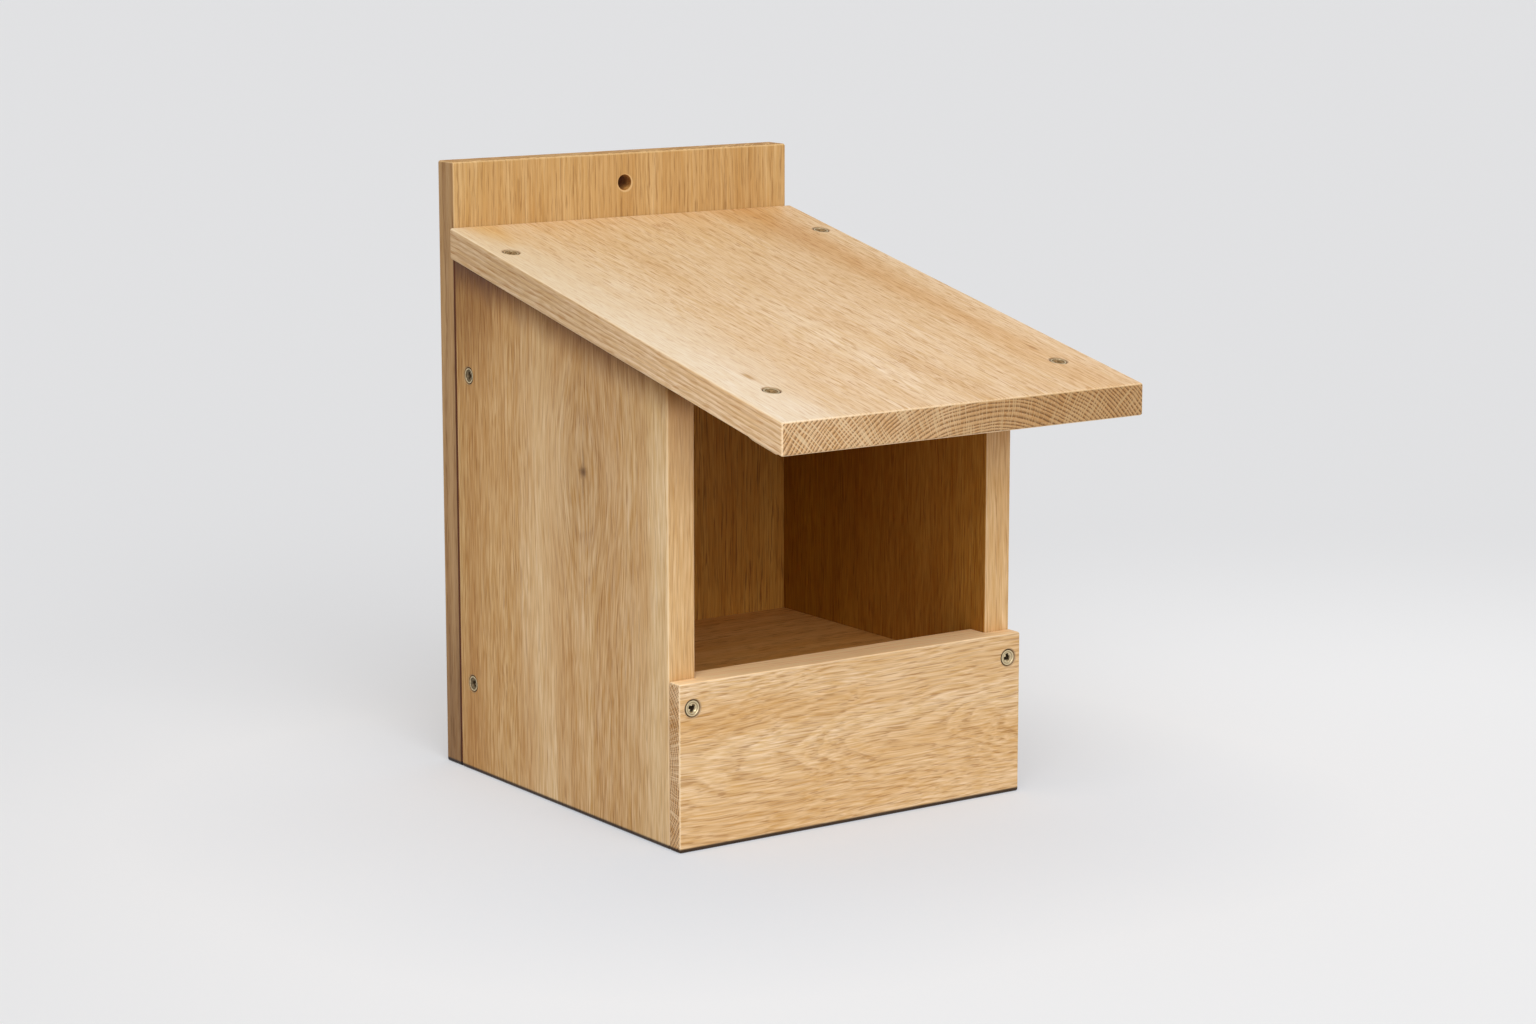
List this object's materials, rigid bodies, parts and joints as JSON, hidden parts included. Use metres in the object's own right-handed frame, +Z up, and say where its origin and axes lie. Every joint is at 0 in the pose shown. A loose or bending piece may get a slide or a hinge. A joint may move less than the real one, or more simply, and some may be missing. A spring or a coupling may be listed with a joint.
{
  "type": "open-fronted nest box",
  "caption": "Wall-hung wooden nest box with a low front board, an open upper front, a sloping roof with deep eaves and a tall back board with a hanging hole.",
  "frame": {"origin": "axis of the hanging hole, on the rear face that lies on the wall", "axes": "+Z up, -Y out of the wall towards the open front, +X to the right seen from the front"},
  "size_m": [0.205, 0.2989, 0.305],
  "materials": {
    "oak": "planed and lightly oiled oak, arrises eased",
    "screw_steel": "zinc-plated countersunk wood screws"
  },
  "bodies": {
    "root": {"hanging_board": "oak", "back_panel": "oak", "left_side": "oak", "right_side": "oak", "floor_board": "oak", "front_board": "oak", "roof_board": "oak", "roof_batten": "oak", "front_screws": "screw_steel", "left_side_screws": "screw_steel", "right_side_screws": "screw_steel", "hanging_board_screws": "screw_steel", "roof_rear_screws": "screw_steel", "roof_front_screws": "screw_steel"}
  },
  "joints": []
}
